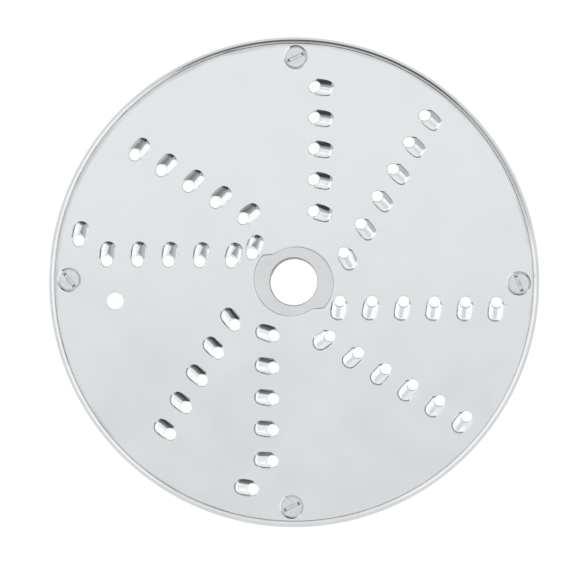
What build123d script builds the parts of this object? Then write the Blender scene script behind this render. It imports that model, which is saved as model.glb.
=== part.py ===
from build123d import *
from math import asin, cos, degrees, radians, sin, tan
import os

# Grating disc of a food processor: a punched steel plate, screwed down on a cast carrier.
# Millimetres, +Z up. The origin is on the bore axis, in the plane that the disc rests on.

# Disc
disc_diameter = 175.0
disc_height = 12.0
sheet = 1.2
seat_gap = 0.2

# Carrier rim: a ring with a rounded shoulder outside, and a ledge under the plate's edge
rim_lip = 1.8
shoulder_bevels = 2
ledge_width = 4.3

# Carrier spokes, and the pads that the screws go into
spoke_count = 4
spoke_width = 6.0
spoke_floor = 4.5
pad_width = 11.0
pad_floor = 1.5

# Hub: a round boss that ends in a keyed face, level with the plate
bore_diameter = 17.0
bore_chamfer = 0.5
hub_diameter = 29.6
key_radius = 13.1
key_slide = 1.26
key_slide_angle = -37.5
key_start = -40.5
key_sweep = 169.0
key_corner = 0.8
key_gap = 0.12
drive_slot_width = 5.0
drive_slot_depth = 4.0

# Countersunk screws
screw_inset = 7.3
screw_thread = 4.0
thread_gap = 0.05
screw_length = 7.0
screw_tip_gap = 0.6
head_diameter = 7.1
countersink_diameter = 8.5
slot_width = 1.2
slot_depth = 0.7
slot_angles = (-67.0, 25.0, -52.0, 26.0)

# Hanging hole
hanging_hole_diameter = 6.1
hanging_hole_radius = 64.1
hanging_hole_angle = 186.7

# Grating tooth: a round hole with a hood behind it. The hood is an arch that rises from its tail to its
# mouth, with leaning flanks, and ends in two slanted horns beside the hole. There are many teeth, so each
# round is made of a few flats.
tooth_hole_diameter = 4.0
tooth_length = 9.05
hood_width = 5.8
hood_crest = 2.1
hood_slope = 13.0
hood_arch_radius = 4.2
hood_lean = 15.0
hood_wall = 0.9
hollow_width = 2.6
horn_angle = 49.5
horn_inset = 0.15
hole_flats = 10
arch_flats = 9

# Tooth pattern: a straight row beside each spoke and a slanted row between spokes, staggered so
# that every circle is cut by two rows. A tooth gives way to a screw or a spoke along its own circle.
tooth_inset = 9.4
tooth_pitch = 10.95
stagger_steps = 4
straight_offset = 6.8
straight_step = 2
slanted_angle = 60.0
slanted_offset = 10.15
slanted_step = 1
hub_margin = 0.3
screw_shift = -5.3
spoke_shift = 31.5
hub_turn = 14.0

# Worked out from the sizes above
disc_radius = disc_diameter / 2
seat_radius = disc_radius - rim_lip
ledge_top = disc_height - sheet
ledge_inner = seat_radius - ledge_width
bore_radius = bore_diameter / 2
hub_radius = hub_diameter / 2
spoke_spacing = 360 / spoke_count
spoke_angles = [spoke_spacing * i for i in range(spoke_count)]
screw_radius = disc_radius - screw_inset
thread_radius = screw_thread / 2
head_top = disc_height - (countersink_diameter - head_diameter) / 2
screw_tip = head_top - screw_length
tooth_hole_radius = tooth_hole_diameter / 2
tail_reach = tooth_length - tooth_hole_radius
over = 1.0
on_base = (Align.CENTER, Align.CENTER, Align.MIN)
from_axis = (Align.MIN, Align.CENTER, Align.MIN)


def polar(radius, angle):
    """A point in the plane, from its distance to the axis and its angle."""
    return Vector(radius * cos(radians(angle)), radius * sin(radians(angle)))


def on_spokes(shape):
    """One copy of a shape for each spoke, turned about the axis."""
    return [Rot(0, 0, angle) * shape for angle in spoke_angles]


def key_face():
    """Outline of the keyed hub face: two arcs slid along each other, joined by short steps."""
    slide = polar(key_slide, key_slide_angle)
    with BuildSketch() as face:
        with BuildLine():
            first = CenterArc(slide, key_radius, key_start, key_sweep)
            second = CenterArc(-slide, key_radius, key_start + 180, key_sweep)
            Line(first @ 1, second @ 0)
            Line(second @ 1, first @ 0)
        make_face()
        fillet(face.vertices(), key_corner)
    return face.sketch


def countersink():
    """The cone that a screw head sits in, on the first spoke, from its point up to above the plate."""
    depth = countersink_diameter / 2
    return Pos(screw_radius, 0, disc_height - depth) * Cone(0, depth + over, depth + over, align=on_base)


def rim():
    """The ring with its rounded shoulder and the seat for the plate's edge."""
    turns = [90 / shoulder_bevels * i for i in range(shoulder_bevels + 1)]
    shoulder = [polar(rim_lip, turn) + Vector(seat_radius, disc_height - rim_lip) for turn in turns]
    ledge = [(seat_radius, ledge_top), (ledge_inner, ledge_top), (ledge_inner, 0), (disc_radius, 0)]
    section = make_face(Polyline(*shoulder, *ledge, close=True))
    return revolve(Plane.XZ * section, Axis.Z)


def carrier():
    """Rim, spokes, screw pads and hub in one casting."""
    spoke_start = (bore_radius + hub_radius) / 2
    spoke = Pos(spoke_start, 0, spoke_floor) * Box(
        screw_radius - spoke_start, spoke_width, ledge_top - spoke_floor, align=from_axis
    )
    pad_start = screw_radius - pad_width / 2
    pad = Pos(pad_start, 0, pad_floor) * Box(
        ledge_inner + over - pad_start, pad_width, ledge_top - pad_floor, align=from_axis
    )
    hub = Cylinder(hub_radius, ledge_top, align=on_base)
    key = Pos(0, 0, ledge_top) * extrude(key_face(), sheet)
    body = rim() + [hub, key] + on_spokes(spoke) + on_spokes(pad)

    bore = Pos(0, 0, -over) * Cylinder(bore_radius, disc_height + 2 * over, align=on_base)
    flare = bore_chamfer + over
    mouth = Pos(0, 0, disc_height - bore_chamfer) * Cone(bore_radius, bore_radius + flare, flare, align=on_base)
    drive_slot = Box(hub_diameter + over, drive_slot_width, 2 * drive_slot_depth)
    tapping_floor = screw_tip - screw_tip_gap
    tapping = Pos(screw_radius, 0, tapping_floor) * Cylinder(
        thread_radius + thread_gap, disc_height - tapping_floor, align=on_base
    )
    return body - [bore, mouth, drive_slot] - on_spokes(tapping + countersink())


def rising(section, height):
    """A section across a tooth, drawn out along the slope of the hood's crest at a height over the hole."""
    slope = radians(hood_slope)
    across = Plane((0, 0, height), (0, 1, 0), (cos(slope), 0, sin(slope)))
    return extrude(across * make_face(Polyline(*section, close=True)), tooth_length + over, both=True)


def hood():
    """The raised hood of a tooth, from the middle of the sheet up: an arch over a foot with leaning flanks."""
    turns = [180 / arch_flats * i for i in range(arch_flats + 1)]
    arch = [polar(hood_arch_radius, turn) - Vector(0, hood_arch_radius) for turn in turns]
    legs = [spot - Vector(0, hood_arch_radius) for spot in (arch[-1], arch[0])]

    half = hood_width / 2
    tip = polar(tooth_hole_radius - horn_inset, horn_angle)
    horn = Vector(tip.X - (half - tip.Y) * tan(radians(horn_angle)), half)
    side = [tip, horn, Vector(-tail_reach, half)]
    outline = make_face(Polyline(*side, *[Vector(spot.X, -spot.Y) for spot in reversed(side)], close=True))
    sunk = sheet / 2
    foot = offset(outline, sunk * tan(radians(hood_lean)), kind=Kind.INTERSECTION)
    body = Pos(0, 0, -sunk) * extrude(foot, hood_crest + sunk, taper=hood_lean)
    return body & rising(arch + legs, hood_crest)


def hollow():
    """The room under a hood, open below, with a wall left over it."""
    roof = hollow_width / 2
    depth = sheet + hood_crest + over
    wide = roof + depth * tan(radians(hood_lean))
    section = [(-roof, 0), (roof, 0), (wide, -depth), (-wide, -depth)]
    length = tail_reach - hood_wall
    room = Pos(-length, 0, -sheet - over) * Box(length, 2 * wide, depth + over, align=from_axis)
    return room & rising(section, hood_crest - hood_wall / cos(radians(hood_slope)))


def tooth_place(radius, row_angle, row_offset):
    """The place of a tooth hole on its row and circle, with the tooth's mouth along its own X axis."""
    angle = row_angle - degrees(asin(row_offset / radius))
    beside_screw = radius + hood_width / 2 > screw_radius - countersink_diameter / 2
    if beside_screw and row_offset == straight_offset:
        angle += screw_shift
    tail_room = radius * sin(radians(angle % spoke_spacing)) - spoke_width / 2
    if tail_room < tail_reach and row_offset == slanted_offset:
        angle += spoke_shift
    beside_hub = radius - hood_width / 2 < hub_radius + hub_margin
    spot = polar(radius, angle)
    return Pos(spot.X, spot.Y, disc_height) * Rot(0, 0, angle + 90 + beside_hub * hub_turn)


def tooth_row(row_angle, row_offset, step):
    """The places of one row, from the outermost tooth to the hub."""
    places = []
    radius = disc_radius - tooth_inset - step % stagger_steps * tooth_pitch / stagger_steps
    while radius > hub_radius + tooth_hole_radius + hub_margin:
        places.append(tooth_place(radius, row_angle, row_offset))
        radius -= tooth_pitch
    return places


def grating_plate():
    """The sheet with its opening, holes and countersinks, then its raised teeth."""
    places = []
    for i, spoke_angle in enumerate(spoke_angles):
        places += tooth_row(spoke_angle, straight_offset, straight_step + i)
        places += tooth_row(spoke_angle + slanted_angle, slanted_offset, slanted_step + i)

    outline = Rot(0, 0, 180 / hole_flats) * RegularPolygon(tooth_hole_radius, hole_flats, major_radius=False)
    hole = extrude(outline, sheet + hood_crest + over, both=True)

    body = Pos(0, 0, ledge_top) * Cylinder(seat_radius - seat_gap, sheet, align=on_base)
    opening = Pos(0, 0, ledge_top - over) * extrude(offset(key_face(), key_gap), sheet + 2 * over)
    hanging = polar(hanging_hole_radius, hanging_hole_angle)
    hanging_hole = Pos(hanging.X, hanging.Y, disc_height) * Cylinder(hanging_hole_diameter / 2, 4 * sheet)
    body = body - [opening, hanging_hole] - on_spokes(countersink())
    raised = hood()
    body += [place * raised for place in places]
    opened = hollow() + hole
    return body - [place * opened for place in places]


def rim_screws():
    """The slotted countersunk screws, each turned to its own angle."""
    neck = disc_height - countersink_diameter / 2 + thread_radius
    section = make_face(
        Polyline(
            (0, screw_tip),
            (thread_radius, screw_tip),
            (thread_radius, neck),
            (head_diameter / 2, head_top),
            (0, head_top),
            close=True,
        )
    )
    blank = revolve(Plane.XZ * section, Axis.Z)
    slot = Pos(0, 0, head_top) * Box(head_diameter + over, slot_width, 2 * slot_depth)
    screws = []
    for i, spoke_angle in enumerate(spoke_angles):
        spot = polar(screw_radius, spoke_angle)
        slot_angle = slot_angles[i % len(slot_angles)]
        screws.append(Pos(spot.X, spot.Y) * (blank - Rot(0, 0, slot_angle) * slot))
    return Compound(screws)


os.makedirs("parts", exist_ok=True)
export_step(carrier(), "parts/carrier.step")
export_step(grating_plate(), "parts/grating_plate.step")
export_step(rim_screws(), "parts/rim_screws.step")
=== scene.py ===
from math import asin, cos, degrees, pi, radians, sin, tan

import bmesh
import bpy
import numpy as np
from mathutils import Matrix, Vector
from mathutils.geometry import delaunay_2d_cdt


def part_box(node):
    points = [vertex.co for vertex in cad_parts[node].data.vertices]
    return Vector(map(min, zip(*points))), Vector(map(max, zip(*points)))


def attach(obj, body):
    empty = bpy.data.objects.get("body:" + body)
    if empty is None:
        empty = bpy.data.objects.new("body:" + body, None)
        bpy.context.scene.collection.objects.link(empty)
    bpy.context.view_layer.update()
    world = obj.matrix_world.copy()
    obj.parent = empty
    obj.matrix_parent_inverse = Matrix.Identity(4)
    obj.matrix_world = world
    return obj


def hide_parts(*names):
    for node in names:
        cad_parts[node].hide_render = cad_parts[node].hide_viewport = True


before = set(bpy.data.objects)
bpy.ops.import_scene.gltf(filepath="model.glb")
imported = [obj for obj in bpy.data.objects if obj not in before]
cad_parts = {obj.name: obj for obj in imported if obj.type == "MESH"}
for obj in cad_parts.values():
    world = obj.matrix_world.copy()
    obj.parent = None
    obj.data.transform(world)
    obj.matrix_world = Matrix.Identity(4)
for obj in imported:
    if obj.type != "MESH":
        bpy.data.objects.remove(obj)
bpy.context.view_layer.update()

scene = bpy.context.scene
MM = 0.001

# Grating disc of a food processor: a punched steel plate in a cast carrier, held by four screws.
# Lengths are in millimetres and angles in degrees, unless a heading or a conversion says otherwise.

# Sizes read from the frame, rounded because facets lie a little inside their true circle
carrier_low, carrier_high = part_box("carrier")
disc_radius = round((carrier_high.x - carrier_low.x) / MM, 0) / 2
top = round((carrier_high.z - carrier_low.z) / MM, 2)

# Sizes of plate, carrier and screws
sheet = 1.2
seat_gap = 0.2
rim_lip = 1.8
ledge_width = 4.3
spoke_count = 4
spoke_width = 6.0
spoke_floor = 4.5
pad_width = 11.0
pad_floor = 1.5
bore_radius = 8.5
hub_radius = 14.8
key_radius = 13.1
key_slide = 1.26
key_slide_angle = -37.5
key_start = -40.5
key_sweep = 169.0
drive_slot_width = 5.0
drive_slot_depth = 4.0
screw_inset = 7.3
thread_radius = 2.0
thread_gap = 0.05
screw_length = 7.0
screw_tip_gap = 0.6
head_radius = 3.55
countersink_radius = 4.25
slot_width = 1.2
slot_depth = 0.7
slot_angles = (-67.0, 25.0, -52.0, 26.0)
hanging_hole_radius = 3.05
hanging_hole_reach = 64.1
hanging_hole_angle = 186.7

# Sizes of a tooth
tooth_hole_radius = 2.0
tooth_length = 9.05
hood_width = 5.8
hood_crest = 2.1
hood_slope = radians(13.0)
hood_arch_radius = 4.2
hood_lean = radians(15.0)
hood_wall = 0.9
horn_angle = radians(49.5)
horn_inset = 0.15

# Tooth pattern: a straight row beside each spoke and a slanted row between spokes
tooth_inset = 9.4
tooth_pitch = 10.95
stagger_steps = 4
straight_offset = 6.8
straight_step = 2
slanted_angle = 60.0
slanted_offset = 10.15
slanted_step = 1
hub_margin = 0.3
screw_shift = -5.3
spoke_shift = 31.5
hub_turn = 14.0

# Finer forms of the teeth than the solids have
foot_spread = 0.1
back_slope = radians(9.0)
back_start = -4.0
crest_blend = 0.15
tail_radius = 3.2
tail_slope = radians(50.0)
tail_lift = 1.0
tail_blend = 0.5
hood_blend = 0.4
hood_fillet = 0.18
least_foot_slope = 0.02
largest_fillet_share = 0.4
shoulder_length = 1.0
hole_bevel = 0.2
bevel_blend = 0.08

# Finer forms of the plate's edges, and of its joints with rim and hub
hole_round = 0.16
plate_round = 0.35
edge_trim = 0.2
edge_round = 0.15
seam = 0.04
seat_shift = (-0.11, 0.05)
key_round = 1.8
key_turn = radians(14.0)
key_seam = 0.13
key_slack = 0.04
key_twist = -0.8
key_blend = 0.75

# Finer forms of the screws
countersink_slope = radians(45.0)
slot_taper = 0.1
slot_fillet = 0.12
tip_chamfer = 0.4
head_bevel = 0.15
head_knee = (0.03, 0.02)
head_round = 0.12

# Finer forms of the carrier
lip_round = 0.1
crown_radius = 4.7
crown_start = radians(14.0)
crown_slope = radians(24.0)
knee_radius = 0.15
flank_slope = radians(66.0)
wall_radius = 0.8
bore_round = 0.3
foot_round = 0.5
spoke_round = 1.0
pad_round = 0.8
spoke_drop = 0.02
pad_drop = 0.01
over = 1.0

# Painted shade at the plate's edge, on the bore, in the joints and on the screws, and where the roughness
# changes: widths and depths, and strengths as shares of the tone
flat_limits = (0.005, 0.04)
# Painted shade along the plate's edge: its strength, its width and the shift of its centre
edge_painted_shade = 0.5
edge_painted_shade_width = 1.5
edge_painted_shade_shift = (0.24, -0.66)
# Painted shade on the bore's wall: how far outside the bore it starts to fade and where it ends
bore_shade_widths = (0.05, 0.2)
# Painted shade in the gaps between plate and carrier: the depths below the faces where it starts, its fade
# at the seat, and its share away from the hub
joint_depth = 0.2
joint_fade = 0.1
rim_painted_shade = 0.2
turned_depths = (3.0, 2.5)
# Painted shade on the screw heads: its strength at the middle and how far from the axis it reaches
head_shade = 0.22
head_shade_reach = 2.6
# Painted shade at the ends of the screw slots: its strength, where it starts from the axis, and how deep
# below the head it lies
slot_shade = 0.8
slot_shade_start = 2.1
slot_shade_depth = 0.2

# Mesh fineness
round_steps = 3
bevel_steps = 4
fillet_steps = 4
hood_steps = 8
shoulder_steps = 7
hollow_steps = 5
front_columns = 8
horn_columns = 10
back_columns = 20
column_samples = 1200
least_samples = 6
circle_steps = 64
tapping_steps = 48
rim_steps = 288
key_steps = 240
key_parts = 4
arc_samples = 400
blend_widths = 3
merge_distance = 1e-4
fill_tolerance = 1e-7
smooth_angle = 35.0
cut_smooth_angle = 30.0
round_profile = 0.5

# Stage: lengths in metres, brightness as a share of white
world_light = 0.7
world_seen = 1.0
floor_size = 6.0
floor_gap = 0.00002
floor_grey = 0.9
floor_roughness = 0.9
floor_glow = 1.03
floor_glow_share = 0.96
floor_mirrored = 0.6
softbox_brightness = 0.22
left_softbox, left_softbox_size = (-0.834, -0.016, 0.738), (1.66, 0.88)
right_softbox, right_softbox_size = (0.85, -0.35, 0.72), (1.3, 1.2)
left_wall = ((-1.2, 0.9), (-1.2, -1.2))
front_wall = ((-1.2, -1.2), (0.8, -1.2))
left_kerb, left_skirting = 0.19, 0.4
front_kerb, front_skirting = 0.21, 0.42

# Camera: the photograph's size and the disc's middle in pixels, one pixel and the distance in metres
frame_width, frame_height = 585, 580
disc_column, disc_row = 293.6, 281.5
pixel = 0.0003564
camera_distance = 1.6
camera_lean = radians(2.0)
camera_side_lean = radians(1.5)
camera_roll = radians(0.46)
sensor_width = 36.0

# Worked out from the sizes above
ledge_top = top - sheet
seat_radius = disc_radius - rim_lip
plate_radius = seat_radius - seat_gap - edge_trim
ledge_inner = seat_radius - ledge_width
spoke_spacing = 360 / spoke_count
screw_radius = disc_radius - screw_inset
head_top = top - countersink_radius + head_radius
cone_point = top - countersink_radius
screw_tip = head_top - screw_length
tail_reach = tooth_length - tooth_hole_radius
horn_reach = tooth_hole_radius - horn_inset


class Builder:
    """Gathers points in millimetres and faces, and turns them into a mesh object."""

    def __init__(self):
        self.points = []
        self.faces = []

    def add(self, points):
        """Adds points and gives their numbers."""
        start = len(self.points)
        self.points.extend(tuple(map(float, point)) for point in points)
        return list(range(start, len(self.points)))

    def grid(self, rows):
        """Faces between neighbouring rings of point numbers."""
        for first, second in zip(rows, rows[1:]):
            count = len(first)
            for i in range(count):
                j = (i + 1) % count
                self.faces.append((first[i], first[j], second[j], second[i]))

    def loop(self, outline, height):
        """A ring of points at one height, from an outline in the plane."""
        return self.add([(x, y, height) for x, y in outline])

    def fill(self, outer, holes):
        """Flat faces inside a ring of point numbers and outside the rings of its holes."""
        rings = [outer] + holes
        numbers = [number for ring in rings for number in ring]
        places = {number: i for i, number in enumerate(numbers)}
        flat = [Vector(self.points[number][:2]) for number in numbers]
        loops = [[places[number] for number in ring] for ring in rings]
        made = delaunay_2d_cdt(flat, [], loops, 1, fill_tolerance)
        for face, sources in zip(made[2], made[5]):
            if list(sources) == [0]:
                self.faces.append(tuple(numbers[made[3][i][0]] for i in face))

    def object(self, name):
        """The mesh object, in metres, with doubles merged and faces turned outwards."""
        mesh = bpy.data.meshes.new(name)
        bm = bmesh.new()
        corners = [bm.verts.new(Vector(point) * MM) for point in self.points]
        for face in self.faces:
            bm.faces.new([corners[i] for i in face])
        bmesh.ops.remove_doubles(bm, verts=bm.verts, dist=merge_distance * MM)
        bmesh.ops.dissolve_degenerate(bm, edges=bm.edges, dist=merge_distance * MM)
        bmesh.ops.recalc_face_normals(bm, faces=bm.faces)
        bm.to_mesh(mesh)
        bm.free()
        return shown(name, mesh, smooth_angle)


def shown(name, mesh, sharp_angle):
    """Links a mesh as an object, smooth apart from its sharp edges."""
    mesh.polygons.foreach_set("use_smooth", [True] * len(mesh.polygons))
    mesh.set_sharp_from_angle(angle=radians(sharp_angle))
    piece = bpy.data.objects.new(name, mesh)
    scene.collection.objects.link(piece)
    return piece


def polar(radius, angle):
    """A point in the plane, from its distance to the axis and its angle."""
    return np.array((radius * cos(radians(angle)), radius * sin(radians(angle))))


def circle(radius, steps, centre=(0.0, 0.0)):
    """Points round a circle in the plane."""
    turns = np.arange(steps) * 2 * pi / steps
    return np.column_stack((centre[0] + radius * np.cos(turns), centre[1] + radius * np.sin(turns)))


def rounding(radius, steps, turn=pi / 2):
    """Steps of a rounded edge: how far in from the edge and how far below the face."""
    turns = np.linspace(0, turn, steps + 1)
    return list(zip(radius * (sin(turn) - np.sin(turns)), radius * (1 - np.cos(turns))))


def corner(centre, radius, start, end, steps):
    """Points of a rounded corner in a section, from its centre and its start and end angles."""
    return [np.array(centre) + polar(radius, turn) for turn in np.linspace(start, end, steps + 1)]


def rolled(start, radius, first, last, steps):
    """Points of a shoulder that goes on from a start point while its slope grows, in radians."""
    turns = np.linspace(first, last, steps + 1)
    across = start[0] + radius * (np.sin(turns) - sin(first))
    return list(zip(across, start[1] - radius * (cos(first) - np.cos(turns))))


def key_outline(grow, slack=0.0, twist=0.0):
    """Outline of the keyed hub face, with its steps smoothed, grown outwards by a distance.

    Its two arcs can be slid further apart by a slack, and the whole can be turned by a twist.
    """
    slide = polar(key_slide + slack, key_slide_angle + twist)
    turns = key_start + twist + np.linspace(0, key_sweep, arc_samples)
    arc = np.array([slide + polar(key_radius, turn) for turn in turns])
    corners = np.vstack((arc, -arc, arc[:1]))
    lengths = np.concatenate(([0], np.cumsum(np.hypot(*np.diff(corners, axis=0).T))))
    count = key_parts * key_steps
    places = np.arange(count) / count * lengths[-1]
    outline = np.column_stack([np.interp(places, lengths, corners[:, axis]) for axis in (0, 1)])
    spacing = places[1]
    reach = int(blend_widths * key_blend / spacing)
    steps = np.arange(-reach, reach + 1)
    weights = np.exp(-0.5 * (steps * spacing / key_blend) ** 2)
    weights /= weights.sum()
    outline = sum(weight * np.roll(outline, step, axis=0) for weight, step in zip(weights, steps))
    ahead = np.roll(outline, -1, axis=0) - np.roll(outline, 1, axis=0)
    ahead /= np.hypot(*ahead.T)[:, None]
    normals = np.column_stack((ahead[:, 1], -ahead[:, 0]))
    return (outline + grow * normals)[::key_parts]


def soft_min(a, b, blend):
    """The lower of two heights, rounded where they meet."""
    gap = np.maximum(blend - np.abs(a - b), 0) / blend
    return np.minimum(a, b) - gap**2 * blend / 4


def hood_height(x, y, wall):
    """Height of a hood over the plate, or of the hollow under it where a wall is taken off."""
    front = hood_crest + x * tan(hood_slope)
    behind = front + (back_start - x) * (tan(hood_slope) - tan(back_slope))
    rise = -soft_min(-front, -behind, crest_blend)
    arch = rise - hood_arch_radius + np.sqrt(np.clip((hood_arch_radius - wall) ** 2 - y**2, 0, None))
    back = tail_radius - tail_reach - x
    tail = (tail_radius - np.hypot(np.maximum(back, 0), y)) * tan(tail_slope) - wall / cos(tail_slope)
    tail += np.maximum(-back, 0) * tail_lift
    side = hood_width / 2 + foot_spread - np.abs(y)
    horn = horn_reach - x * cos(horn_angle) - np.abs(y) * sin(horn_angle)
    flank = (np.minimum(side, horn) - wall / cos(hood_lean)) / tan(hood_lean)
    return soft_min(soft_min(arch, tail, tail_blend), flank, hood_blend)


def evenly(path, steps):
    """A path resampled into steps of equal length."""
    lengths = np.concatenate(([0], np.cumsum(np.sqrt((np.diff(path, axis=0) ** 2).sum(1)))))
    places = np.linspace(0, lengths[-1], steps + 1)
    return np.column_stack([np.interp(places, lengths, column) for column in path.T])


def tooth_angles():
    """Directions from the hole's centre for half a tooth, from its mouth to its tail.

    Also gives the numbers of the last direction before the hood and of the last one before the hollow.
    """
    buried = hood_wall / cos(hood_lean) - sheet * tan(hood_lean)
    front = horn_angle + np.arccos(horn_reach / tooth_hole_radius)
    hollow = horn_angle + np.arccos((horn_reach - buried) / tooth_hole_radius)
    parts = (
        np.linspace(0, front, front_columns + 1),
        np.linspace(front, hollow, horn_columns + 1)[1:],
        np.linspace(hollow, pi, back_columns + 1)[1:],
    )
    return np.concatenate(parts), front_columns, front_columns + horn_columns


def bevel_drop(reach):
    """How far the bevel round a tooth hole lies below the face it is cut in."""
    return -soft_min(reach - tooth_hole_radius - hole_bevel, np.zeros_like(reach), bevel_blend)


def hood_column(angle):
    """Points of the hood in one direction, from the hole's edge to the plate, as reach and height."""
    reach = np.linspace(tooth_hole_radius, tooth_length, column_samples)
    height = hood_height(reach * cos(angle), reach * sin(angle), 0)
    below = max(np.argmax(height < 0), least_samples)
    inner = np.column_stack((reach[:below], height[:below] - bevel_drop(reach[:below])))
    lengths = np.concatenate(([0], np.cumsum(np.hypot(*np.diff(inner, axis=0).T))))

    # A fillet takes the place of the sharp foot
    run = inner[-1] - inner[-3]
    steep = max(np.arctan2(-run[1], run[0]), least_foot_slope)
    tangent = min(hood_fillet * tan(steep / 2), largest_fillet_share * lengths[-1])
    kept = inner[lengths <= lengths[-1] - tangent]
    turns = np.linspace(steep, 0, fillet_steps + 1)[1:]
    radius = tangent / tan(steep / 2)
    foot = reach[below] + tangent
    fillet = np.column_stack((foot - radius * np.sin(turns), radius * (1 - np.cos(turns))))

    # The bevel takes at most the first third of what is kept, and the shoulder at most the last third
    near = np.count_nonzero(kept[:, 0] < tooth_hole_radius + hole_bevel + bevel_blend)
    near = max(min(near, len(kept) // 3), 1)
    far = np.count_nonzero(lengths < lengths[len(kept) - 1] - shoulder_length)
    far = max(far, 2 * len(kept) // 3, near + 1)
    bevel = evenly(kept[: near + 1], bevel_steps)
    crest = evenly(kept[near : far + 1], hood_steps)[1:]
    shoulder = evenly(kept[far:], shoulder_steps)[1:]
    return np.vstack((bevel, crest, shoulder, fillet))


def hollow_column(angle):
    """Points of the hollow under the hood in one direction, from the hole's wall to the underside."""
    reach = np.linspace(tooth_hole_radius, tooth_length, column_samples)
    height = hood_height(reach * cos(angle), reach * sin(angle), hood_wall)
    below = max(np.argmax(height < -sheet), 1)
    path = np.column_stack((reach[: below + 1], np.maximum(height[: below + 1], -sheet)))
    return evenly(path, hollow_steps)


def tooth():
    """One tooth's rows of points: the top, from the hole's edge to the plate, and the hollow under it."""
    angles, last_flat, last_solid = tooth_angles()
    bevel_reach = tooth_hole_radius + np.linspace(0, hole_bevel + bevel_blend, bevel_steps + 1)
    bevel = np.column_stack((bevel_reach, -bevel_drop(bevel_reach)))
    flat = np.repeat(bevel[-1:], hood_steps + shoulder_steps + fillet_steps, axis=0)
    upper, lower = [], []
    for i, angle in enumerate(angles):
        if i > last_flat:
            upper.append(hood_column(angle))
        else:
            upper.append(np.vstack((bevel, flat)))
        if i > last_solid:
            lower.append(hollow_column(angle))
        else:
            lower.append(np.array([(tooth_hole_radius, -sheet)] * (hollow_steps + 1)))
    signed = np.concatenate((angles, -angles[-2:0:-1]))
    rows = []
    for columns in (upper, lower):
        whole = np.array(columns + columns[-2:0:-1])
        x = whole[:, :, 0] * np.cos(signed)[:, None]
        y = whole[:, :, 0] * np.sin(signed)[:, None]
        rows.append(np.stack((x, y, whole[:, :, 1]), axis=-1).transpose(1, 0, 2))
    return rows


def tooth_place(radius, row_angle, row_offset):
    """Place of a tooth hole on its row and circle, and the direction of the tooth's mouth in radians."""
    angle = row_angle - degrees(asin(row_offset / radius))
    if radius + hood_width / 2 > screw_radius - countersink_radius and row_offset == straight_offset:
        angle += screw_shift
    tail_room = radius * sin(radians(angle % spoke_spacing)) - spoke_width / 2
    if tail_room < tail_reach and row_offset == slanted_offset:
        angle += spoke_shift
    beside_hub = radius - hood_width / 2 < hub_radius + hub_margin
    return polar(radius, angle), radians(angle + 90 + beside_hub * hub_turn)


def tooth_places():
    """Place and direction of every tooth, row by row from the rim to the hub."""
    places = []
    for i in range(spoke_count):
        spoke_angle = i * spoke_spacing
        rows = (
            (spoke_angle, straight_offset, straight_step + i),
            (spoke_angle + slanted_angle, slanted_offset, slanted_step + i),
        )
        for row_angle, row_offset, step in rows:
            radius = disc_radius - tooth_inset - step % stagger_steps * tooth_pitch / stagger_steps
            while radius > hub_radius + tooth_hole_radius + hub_margin:
                places.append(tooth_place(radius, row_angle, row_offset))
                radius -= tooth_pitch
    return places


def pierced(build, outline_at, edge):
    """A hole through the sheet: its rings of points from its rounded edge to the underside."""
    rings = [build.loop(outline_at(inset), top - drop) for inset, drop in edge]
    return rings + [build.loop(outline_at(0), ledge_top)]


def countersunk(build, centre):
    """A countersunk hole: its rings of points from the top face to the underside."""
    head_edge = head_radius + seam
    mouth = head_edge + (top - head_top) / tan(countersink_slope) + edge_round * tan(countersink_slope / 2)
    turns = np.linspace(0, countersink_slope, round_steps + 1)
    section = [(mouth - edge_round * sin(turn), top - edge_round * (1 - cos(turn))) for turn in turns]
    section += [(head_edge, head_top), (head_edge - head_top + ledge_top, ledge_top)]
    return [build.loop(circle(radius, circle_steps, centre), height) for radius, height in section]


def grating_plate():
    """The sheet with its rounded edge, its holes and the teeth drawn up from it."""
    build = Builder()
    upper, lower = tooth()
    top_holes, under_holes = [], []
    for (x, y), turn in tooth_places():
        place = np.array(((cos(turn), -sin(turn)), (sin(turn), cos(turn))))
        rings = []
        for rows in (upper, lower):
            spots = rows[:, :, :2] @ place.T + (x, y)
            heights = rows[:, :, 2:] + top
            rings.append([build.add(row) for row in np.concatenate((spots, heights), axis=-1)])
        build.grid(rings[0])
        build.grid([rings[0][0], rings[1][0]])
        build.grid(rings[1])
        top_holes.append(rings[0][-1])
        under_holes.append(rings[1][-1])

    hanging = polar(hanging_hole_reach, hanging_hole_angle)
    key_edge = rounding(key_round, round_steps, key_turn)
    hole_edge = rounding(hole_round, round_steps)
    holes = [
        pierced(build, lambda grow: key_outline(key_seam + grow, key_slack, key_twist), key_edge),
        pierced(build, lambda grow: circle(hanging_hole_radius + grow, circle_steps, hanging), hole_edge),
    ]
    holes += [countersunk(build, polar(screw_radius, i * spoke_spacing)) for i in range(spoke_count)]
    for rings in holes:
        build.grid(rings)
        top_holes.append(rings[0])
        under_holes.append(rings[-1])

    edge = [
        build.loop(circle(plate_radius - inset, rim_steps), top - drop)
        for inset, drop in rounding(plate_round, 2 * round_steps)
    ]
    edge.append(build.loop(circle(plate_radius, rim_steps), ledge_top))
    build.grid(edge)
    build.fill(edge[0], top_holes)
    build.fill(edge[-1], under_holes)
    return build.object("grating_plate_sheet")


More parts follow.
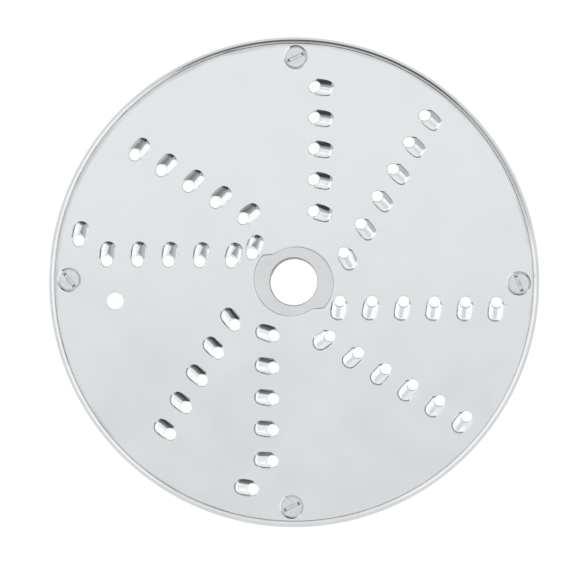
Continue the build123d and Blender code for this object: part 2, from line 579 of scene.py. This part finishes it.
def rim():
    """The carrier's ring: sloping crown and steep flank outside, seat and ledge for the plate inside."""
    shift = np.hypot(*seat_shift)
    seat = plate_radius + seam + shift
    crown = rolled((seat + lip_round + shift, top), crown_radius, crown_start, crown_slope, shoulder_steps)
    knee = rolled(crown[-1], knee_radius, crown_slope, flank_slope, round_steps)
    flank_end = disc_radius - wall_radius * (1 - sin(flank_slope))
    flank_drop = (flank_end - knee[-1][0]) * tan(flank_slope)
    wall = rolled((flank_end, knee[-1][1] - flank_drop), wall_radius, flank_slope, pi / 2, round_steps)
    foot = corner((disc_radius - foot_round, foot_round), foot_round, 0, -90, fillet_steps)
    under = corner((ledge_inner + foot_round, foot_round), foot_round, 270, 180, fillet_steps)
    inside = corner((seat + lip_round, top - lip_round), lip_round, 180, 90, fillet_steps)
    sections = (
        (crown + knee[1:] + wall + foot + under + [(ledge_inner, ledge_top)], (0, 0)),
        ([(seat, ledge_top)] + inside, seat_shift),
    )
    build = Builder()
    rows = []
    for section, centre in sections:
        rows += [build.loop(circle(radius, rim_steps, centre), height) for radius, height in section]
    build.grid(rows + rows[:1])
    return build.object("rim")


def hub():
    """The carrier's round boss with its bore, and the keyed face on top of it."""
    build = Builder()
    section = corner((hub_radius - foot_round, foot_round), foot_round, -90, 0, fillet_steps)
    section.append((hub_radius, ledge_top))
    side = [build.loop(circle(radius, key_steps), height) for radius, height in section]
    key = [build.loop(key_outline(0), ledge_top)]
    for inset, drop in reversed(rounding(key_round, round_steps, key_turn)):
        key.append(build.loop(key_outline(-inset), top - drop))
    bore = [
        build.loop(circle(bore_radius + inset, circle_steps), top - drop)
        for inset, drop in rounding(bore_round, 2 * round_steps)
    ]
    bore.append(build.loop(circle(bore_radius, circle_steps), 0))
    build.grid(side)
    build.grid(key)
    build.grid(bore)
    build.fill(side[-1], [key[0]])
    build.fill(key[-1], [bore[0]])
    build.fill(side[0], [bore[-1]])
    return build.object("hub")


def block(name, low, high, turn=0.0, soft=0.0, taper=0.0):
    """A box between two corners, turned about the axis.

    Its lower edges can be rounded, and two of its sides can lean in by a taper towards its lower face.
    """
    bm = bmesh.new()
    bmesh.ops.create_cube(bm, size=1)
    low, high = Vector(low), Vector(high)
    bmesh.ops.scale(bm, vec=(high - low) * MM, verts=bm.verts)
    bmesh.ops.translate(bm, vec=(high + low) / 2 * MM, verts=bm.verts)
    lower = [vert for vert in bm.verts if vert.co.z < (low.z + high.z) / 2 * MM]
    for vert in lower:
        vert.co.y -= taper * MM * np.sign(vert.co.y)
    if soft:
        edges = [edge for edge in bm.edges if all(vert in lower for vert in edge.verts)]
        bmesh.ops.bevel(
            bm, geom=edges, offset=soft * MM, segments=fillet_steps, profile=round_profile, affect="EDGES"
        )
    bmesh.ops.rotate(bm, matrix=Matrix.Rotation(radians(turn), 3, "Z"), verts=bm.verts)
    mesh = bpy.data.meshes.new(name)
    bm.to_mesh(mesh)
    bm.free()
    return shown(name, mesh, smooth_angle)


def lathe(name, profile, steps, centre):
    """A solid of revolution about an upright axis, from a section that starts and ends on that axis."""
    build = Builder()
    rows = [build.loop(circle(radius, steps, centre), height) for radius, height in profile]
    build.grid(rows)
    return build.object(name)


def combined(base, others, operation):
    """The base with other pieces joined to it or cut from it. The others are used up."""
    for other in others:
        step = base.modifiers.new(operation, "BOOLEAN")
        step.operation = operation
        step.solver = "EXACT"
        step.object = other
    graph = bpy.context.evaluated_depsgraph_get()
    mesh = bpy.data.meshes.new_from_object(base.evaluated_get(graph))
    base.modifiers.clear()
    base.data = mesh
    for other in others:
        bpy.data.objects.remove(other)
    mesh.set_sharp_from_angle(angle=radians(cut_smooth_angle))
    return base


def carrier():
    """Rim, hub, spokes and screw pads as one casting, with its slot and screw holes."""
    spoke_start = (bore_radius + hub_radius) / 2
    spoke_top = ledge_top - spoke_drop
    spoke_low = (spoke_start, -spoke_width / 2, spoke_floor)
    spoke_high = (screw_radius, spoke_width / 2, spoke_top)
    pad_low = (screw_radius - pad_width / 2, -pad_width / 2, pad_floor)
    pad_high = (ledge_inner + over, pad_width / 2, spoke_top - pad_drop)
    tapping_floor = screw_tip - screw_tip_gap
    neck = thread_radius + thread_gap
    tapping = [
        (0, tapping_floor),
        (neck, tapping_floor),
        (neck, cone_point + neck),
        (countersink_radius + over, top + over),
        (0, top + over),
    ]
    joins, cuts = [hub()], []
    for i in range(spoke_count):
        turn = i * spoke_spacing
        joins.append(block("spoke", spoke_low, spoke_high, turn, spoke_round))
        joins.append(block("pad", pad_low, pad_high, turn, pad_round))
        cuts.append(lathe("tapping", tapping, tapping_steps, polar(screw_radius, turn)))
    reach, half = hub_radius + over / 2, drive_slot_width / 2
    cuts.append(block("slot", (-reach, -half, -over), (reach, half, drive_slot_depth)))
    body = combined(rim(), joins, "UNION")
    body = combined(body, cuts, "DIFFERENCE")
    body.name = "carrier_casting"
    return body


def rim_screws():
    """The slotted countersunk screws, each turned to its own angle, as one piece of separate shells."""
    profile = [
        (0, screw_tip),
        (thread_radius - tip_chamfer, screw_tip),
        (thread_radius, screw_tip + tip_chamfer),
        (thread_radius, cone_point + thread_radius),
        (head_radius - head_bevel, head_top - head_bevel),
        (head_radius - head_knee[0], head_top - head_knee[1]),
        (head_radius - head_round, head_top),
        (0, head_top),
    ]
    reach, half = head_radius + over, slot_width / 2 + slot_taper
    slot_low = (-reach, -half, head_top - slot_depth)
    slot_high = (reach, half, head_top + slot_depth)
    bm = bmesh.new()
    for i in range(spoke_count):
        centre = polar(screw_radius, i * spoke_spacing)
        screw = lathe("screw", profile, circle_steps, centre)
        slot = block("screw_slot", slot_low, slot_high, slot_angles[i], slot_fillet, 2 * slot_taper)
        slot.data.transform(Matrix.Translation((centre[0] * MM, centre[1] * MM, 0)))
        screw = combined(screw, [slot], "DIFFERENCE")
        bm.from_mesh(screw.data)
        bpy.data.objects.remove(screw)
    mesh = bpy.data.meshes.new("rim_screw_set")
    bm.to_mesh(mesh)
    bm.free()
    return shown("rim_screw_set", mesh, cut_smooth_angle)


class Metal:
    """A metal's material, with short ways to add and join its nodes."""

    def __init__(self, name):
        self.material = bpy.data.materials.new(name)
        self.material.use_nodes = True
        self.tree = self.material.node_tree
        self.shader = self.tree.nodes["Principled BSDF"]
        self.shader.inputs["Metallic"].default_value = 1.0

    def add(self, kind, **settings):
        """A new node with its settings."""
        node = self.tree.nodes.new(kind)
        for name, value in settings.items():
            setattr(node, name, value)
        return node

    def put(self, value, target):
        """Sets an input to a number, or joins it to another node's value."""
        if isinstance(value, (int, float)):
            target.default_value = value
        else:
            self.tree.links.new(value, target)

    def mapping(self, scale=(1, 1, 1)):
        """The piece's own coordinates in metres, stretched."""
        place = self.add("ShaderNodeTexCoord")
        stretch = self.add("ShaderNodeMapping")
        stretch.inputs["Scale"].default_value = scale
        self.put(place.outputs["Object"], stretch.inputs["Vector"])
        return stretch.outputs["Vector"]

    def place(self):
        """The piece's own X, Y and Z in metres."""
        place = self.add("ShaderNodeTexCoord")
        parts = self.add("ShaderNodeSeparateXYZ")
        self.put(place.outputs["Object"], parts.inputs["Vector"])
        return parts.outputs

    def math(self, operation, first, second=0):
        """A calculation with one or two values."""
        node = self.add("ShaderNodeMath", operation=operation)
        self.put(first, node.inputs[0])
        self.put(second, node.inputs[1])
        return node.outputs["Value"]

    def less(self, value, loss):
        """A value with another taken off."""
        return self.math("SUBTRACT", value, loss)

    def blend(self, share, first, second):
        """A value between two others."""
        node = self.add("ShaderNodeMix", data_type="FLOAT")
        for name, value in (("Factor", share), ("A", first), ("B", second)):
            self.put(value, node.inputs[name])
        return node.outputs["Result"]

    def span(self, value, low, high, start=0.3, end=0.7):
        """A value brought from one range to another. Without a start and an end, it comes from a noise's."""
        node = self.add("ShaderNodeMapRange")
        for name, number in (("From Min", start), ("From Max", end), ("To Min", low), ("To Max", high)):
            node.inputs[name].default_value = number
        self.put(value, node.inputs["Value"])
        return node.outputs["Result"]

    def rises(self, value, start, end):
        """0 up to a start and 1 from an end on, both in millimetres."""
        return self.span(value, 0, 1, start * MM, end * MM)

    def falls(self, value, start, end, last=0):
        """1 up to a start and a last value from an end on, with start and end in millimetres."""
        return self.span(value, 1, last, start * MM, end * MM)

    def length(self, across, along):
        """Length of an offset in the plane."""
        whole = self.add("ShaderNodeCombineXYZ")
        self.put(across, whole.inputs["X"])
        self.put(along, whole.inputs["Y"])
        length = self.add("ShaderNodeVectorMath", operation="LENGTH")
        self.put(whole.outputs["Vector"], length.inputs[0])
        return length.outputs["Value"]

    def from_axis(self, shift=(0, 0)):
        """Distance in metres from the disc's axis, or from one beside it by a shift in millimetres."""
        place = self.place()
        across, along = [self.less(place[name], step * MM) for name, step in zip("XY", shift)]
        return self.length(across, along)

    def from_screws(self):
        """Distance in metres from the nearest of the four screw axes."""
        place = self.place()
        spans = [self.math("ABSOLUTE", place[name]) for name in "XY"]
        along = self.less(self.math("MAXIMUM", *spans), screw_radius * MM)
        return self.length(along, self.math("MINIMUM", *spans))

    def off_face(self):
        """0 on the flat face of the disc and 1 on what is drawn up or rounded off from it."""
        lift = self.math("ABSOLUTE", self.less(self.place()["Z"], top * MM))
        return self.rises(lift, *flat_limits)

    def noise(self, vector, scale, detail=3.0):
        """A cloudy value over a place."""
        node = self.add("ShaderNodeTexNoise")
        node.inputs["Scale"].default_value = scale
        node.inputs["Detail"].default_value = detail
        self.put(vector, node.inputs["Vector"])
        return node.outputs["Fac"]

    def colours(self, value, stops):
        """A colour ramp over a value, as the shader's colour."""
        ramp = self.add("ShaderNodeValToRGB")
        elements = ramp.color_ramp.elements
        for element, (place, colour) in zip(elements, (stops[0], stops[-1])):
            element.position = place
            element.color = (*colour, 1)
        for place, colour in stops[1:-1]:
            elements.new(place).color = (*colour, 1)
        self.put(value, ramp.inputs["Fac"])
        self.put(ramp.outputs["Color"], self.shader.inputs["Base Color"])

    def rough(self, value):
        """A value as the shader's roughness."""
        self.put(value, self.shader.inputs["Roughness"])

    def bump(self, height, strength, distance):
        """A fine relief from a value, with its depth in millimetres."""
        node = self.add("ShaderNodeBump")
        node.inputs["Strength"].default_value = strength
        node.inputs["Distance"].default_value = distance * MM
        self.put(height, node.inputs["Height"])
        self.put(node.outputs["Normal"], self.shader.inputs["Normal"])


def sheet_steel():
    """Stainless sheet: a fine straight grain, faint clouding, and painted shade along its edge, stronger on
    one side.
    """
    made = Metal("sheet_steel")
    cloud = made.noise(made.mapping(), scale=60.0)
    grain = made.noise(made.mapping((60, 2500, 60)), scale=1.0, detail=2.0)
    # Painted shade: the sheet's tone darkens towards its outer edge, measured from a centre shifted to one
    # side, so that one side is darker
    edge_start = plate_radius - edge_painted_shade_width
    reach = made.from_axis(edge_painted_shade_shift)
    painted_shade = made.span(reach, 0, edge_painted_shade, edge_start * MM, plate_radius * MM)
    tones = [
        (0.0, (0.6, 0.62, 0.63)),
        (0.3, (0.764, 0.79, 0.802)),
        (0.7, (0.80, 0.827, 0.84)),
    ]
    made.colours(made.less(cloud, painted_shade), tones)
    made.rough(made.blend(made.off_face(), made.span(cloud, 0.16, 0.22), 0.08))
    made.bump(grain, strength=0.05, distance=0.02)
    return made.material


def cast_aluminium():
    """Satin aluminium, turned on the rim, faintly pitted, with painted shade on the bore's wall and in the
    gaps where the plate meets it.
    """
    made = Metal("cast_aluminium")
    cloud = made.noise(made.mapping(), scale=90.0)
    pits = made.noise(made.mapping(), scale=2500.0, detail=2.0)
    height = made.place()["Z"]
    reach = made.from_axis()
    # Painted shade: the bore's wall is taken down to the darkest tone
    bore_shade = made.falls(reach, *(bore_radius + width for width in bore_shade_widths))
    # Painted shade on the carrier's faces beside and under the plate, between just below the ledge and just
    # below the top, full round the hub and a share at the rim
    above = made.rises(height, ledge_top - 2 * joint_depth, ledge_top - joint_depth)
    below = made.falls(height, top - 2 * joint_depth, top - joint_depth)
    within = made.falls(reach, seat_radius, seat_radius + joint_fade)
    share = made.falls(reach, hub_radius, hub_radius + joint_fade, rim_painted_shade)
    painted_shade = made.blend(above, 0.0, made.blend(below, 0.0, made.blend(within, 0.0, share)))
    # The darkest stop is reached only where painted shade is taken off the tone
    tones = [
        (0.0, (0.15, 0.15, 0.16)),
        (0.3, (0.703, 0.718, 0.728)),
        (0.7, (0.753, 0.768, 0.778)),
    ]
    made.colours(made.less(made.less(cloud, bore_shade), painted_shade), tones)
    turned = made.rises(height, *(top - depth for depth in turned_depths))
    edges = made.blend(turned, 0.32, 0.12)
    made.rough(made.blend(made.off_face(), made.span(cloud, 0.28, 0.36), edges))
    made.bump(pits, strength=0.12, distance=0.03)
    return made.material


def screw_steel():
    """Turned steel, with painted shade in the middle of each head and at the ends of its slot."""
    made = Metal("screw_steel")
    cloud = made.noise(made.mapping(), scale=900.0)
    height = made.place()["Z"]
    reach = made.from_screws()
    # Painted shade: each head darkens towards its middle
    head_centre_shade = made.span(reach, head_shade, 0.0, 0.0, head_shade_reach * MM)
    # Painted shade on the slot's floor, growing towards the slot's ends
    deep = made.falls(height, head_top - 2 * slot_shade_depth, head_top - slot_shade_depth)
    outer = made.span(reach, 0.0, slot_shade, slot_shade_start * MM, head_shade_reach * MM)
    slot_end_shade = made.blend(deep, 0.0, outer)
    tones = [
        (0.0, (0.2, 0.2, 0.21)),
        (0.2, (0.61, 0.63, 0.64)),
        (0.4, (0.7, 0.725, 0.735)),
        (0.7, (0.75, 0.775, 0.785)),
    ]
    made.colours(made.less(made.less(cloud, head_centre_shade), slot_end_shade), tones)
    made.rough(made.span(cloud, 0.2, 0.3))
    made.bump(cloud, strength=0.05, distance=0.03)
    return made.material


def dress(piece, node, material):
    """Puts a finished piece in the place of a solid, with its flat faces shaded flat up to their edges."""
    steady = piece.modifiers.new("steady_flats", "WEIGHTED_NORMAL")
    steady.keep_sharp = True
    piece.data.materials.clear()
    piece.data.materials.append(material)
    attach(piece, "root")
    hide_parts(node)


def seen_directly(tree, mirrored=1.0):
    """1 for rays from the camera and for passed rays, a share for mirrored rays and 0 for the rest."""
    path = tree.nodes.new("ShaderNodeLightPath")
    total = path.outputs["Is Camera Ray"]
    for name, share in (("Is Glossy Ray", mirrored), ("Is Transmission Ray", 1.0)):
        part = tree.nodes.new("ShaderNodeMath")
        part.operation = "MULTIPLY_ADD"
        tree.links.new(path.outputs[name], part.inputs[0])
        part.inputs[1].default_value = share
        tree.links.new(total, part.inputs[2])
        total = part.outputs["Value"]
    return total


def surroundings():
    """White world, a little dimmer as light than as seen."""
    world = bpy.data.worlds.new("surroundings")
    scene.world = world
    world.use_nodes = True
    tree = world.node_tree
    background = tree.nodes["Background"]
    background.inputs["Color"].default_value = (1, 1, 1, 1)
    strength = tree.nodes.new("ShaderNodeMapRange")
    strength.inputs["To Min"].default_value = world_light
    strength.inputs["To Max"].default_value = world_seen
    tree.links.new(seen_directly(tree), strength.inputs["Value"])
    tree.links.new(strength.outputs["Result"], background.inputs["Strength"])


def floor():
    """White table top that the disc rests on, a hair below it so that their faces don't coincide."""
    bpy.ops.mesh.primitive_plane_add(size=floor_size, location=(0, 0, -floor_gap))
    table = bpy.context.object
    table.name = "floor"
    material = bpy.data.materials.new("floor_white")
    material.use_nodes = True
    tree = material.node_tree
    shader = tree.nodes["Principled BSDF"]
    shader.inputs["Base Color"].default_value = (floor_grey, floor_grey, floor_grey, 1)
    shader.inputs["Roughness"].default_value = floor_roughness
    glow = tree.nodes.new("ShaderNodeEmission")
    glow.inputs["Strength"].default_value = floor_glow
    mix = tree.nodes.new("ShaderNodeMixShader")
    share = tree.nodes.new("ShaderNodeMath")
    share.operation = "MULTIPLY"
    share.inputs[1].default_value = floor_glow_share
    tree.links.new(seen_directly(tree, floor_mirrored), share.inputs[0])
    tree.links.new(share.outputs["Value"], mix.inputs["Fac"])
    tree.links.new(shader.outputs["BSDF"], mix.inputs[1])
    tree.links.new(glow.outputs["Emission"], mix.inputs[2])
    tree.links.new(mix.outputs["Shader"], tree.nodes["Material Output"].inputs["Surface"])
    table.data.materials.append(material)


def softbox(name, place, size):
    """A large soft lamp that faces the disc."""
    data = bpy.data.lights.new(name, "AREA")
    data.shape = "RECTANGLE"
    data.size, data.size_y = size
    data.energy = softbox_brightness * pi * size[0] * size[1]
    light = bpy.data.objects.new(name, data)
    scene.collection.objects.link(light)
    light.location = place
    light.rotation_euler = (-Vector(place)).to_track_quat("-Z", "Y").to_euler()
    light.visible_camera = False


def screen(name, corners, greys):
    """A card that only shows mirrored in the metal, with a grey at each of its four corners."""
    mesh = bpy.data.meshes.new(name)
    mesh.from_pydata(corners, [], [(0, 1, 2, 3)])
    tint = mesh.color_attributes.new("grey", "FLOAT_COLOR", "POINT")
    for i, grey in enumerate(greys):
        tint.data[i].color = (grey, grey, grey, 1)
    material = bpy.data.materials.new(name)
    material.use_nodes = True
    tree = material.node_tree
    glow = tree.nodes.new("ShaderNodeEmission")
    shade = tree.nodes.new("ShaderNodeAttribute")
    shade.attribute_name = "grey"
    tree.links.new(shade.outputs["Color"], glow.inputs["Color"])
    tree.links.new(glow.outputs["Emission"], tree.nodes["Material Output"].inputs["Surface"])
    mesh.materials.append(material)
    card = bpy.data.objects.new(name, mesh)
    scene.collection.objects.link(card)
    card.visible_camera = False
    card.visible_diffuse = False
    card.visible_shadow = False


def upright(name, wall, low, high, grey):
    """A plain upright card along a wall, between two heights."""
    start, end = wall
    screen(name, ((*start, low), (*end, low), (*end, high), (*start, high)), (grey,) * 4)


def cards():
    """The grey cards that the metal mirrors: screens behind and above the disc, and low walls round it."""
    foot_left, foot_right = (-0.15, 0.8, 0), (0.51, 0.8, 0)
    low_left, low_right = (-0.15, 0.6, 0.52), (0.48, 0.6, 0.52)
    middle_foot = (-0.32, 0.6, 0.52)
    middle_left, middle_right = (-0.32, 0.52, 0.74), (0.46, 0.52, 0.72)
    high_left, high_right = (0.05, 0.4, 1.02), (0.4, 0.29, 1.3)
    side_foot, side_high = (1.4, 0.45, 0), (1.4, 0.29, 1.3)
    corner_foot, corner_low = (-0.75, 0.78, 0), (-0.65, 0.6, 0.52)
    skirting_near, skirting_far = (0.5, 0.77, 0.1), (1.4, 0.44, 0.1)
    screen("screen_low", (foot_left, foot_right, low_right, low_left), (0.08, 0.04, 0.04, 0.15))
    screen("screen_middle", (middle_foot, low_right, middle_right, middle_left), (0.25, 0.05, 0.2, 0.28))
    screen("screen_high", (middle_left, middle_right, high_right, high_left), (0.3, 0.4, 0.5, 0.4))
    screen("screen_side", (foot_right, side_foot, side_high, high_right), (0.5, 0.62, 0.68, 0.5))
    screen("screen_corner", (corner_foot, foot_left, low_left, corner_low), (0.9, 0.1, 0.15, 0.8))
    screen("skirting_side", (foot_right, side_foot, skirting_far, skirting_near), (0.1, 0.3, 0.3, 0.1))
    upright("skirting_left", left_wall, left_kerb, left_skirting, 0.03)
    upright("skirting_front", front_wall, front_kerb, front_skirting, 0.04)
    upright("kerb_left", left_wall, 0, left_kerb, 0.55)
    upright("kerb_front", front_wall, 0, front_kerb, 0.6)
    left, right, back, front, height = -0.47, 0.39, 0.03, -0.78, 1.3
    corners = ((left, back, height), (right, back, height), (right, front, height), (left, front, height))
    screen("card_front", corners, (0.85,) * 4)


def camera():
    """Looks down on the disc from a little in front and to the right, framed as in the photograph."""
    data = bpy.data.cameras.new("camera")
    data.sensor_width = sensor_width
    data.lens = data.sensor_width * camera_distance / (frame_width * pixel)
    view = bpy.data.objects.new("camera", data)
    scene.collection.objects.link(view)
    across = (frame_width / 2 - disc_column) * pixel
    along = (disc_row - frame_height / 2) * pixel
    turn = Matrix.Rotation(camera_lean, 4, "X") @ Matrix.Rotation(camera_side_lean, 4, "Y")
    turn = turn @ Matrix.Rotation(camera_roll, 4, "Z")
    aim = Matrix.Translation((across, along, top * MM))
    view.matrix_world = aim @ turn @ Matrix.Translation((0, 0, camera_distance))
    scene.camera = view


dress(grating_plate(), "grating_plate", sheet_steel())
dress(carrier(), "carrier", cast_aluminium())
dress(rim_screws(), "rim_screws", screw_steel())
surroundings()
floor()
softbox("softbox_left", left_softbox, left_softbox_size)
softbox("softbox_right", right_softbox, right_softbox_size)
cards()
camera()
scene.view_settings.view_transform = "Standard"
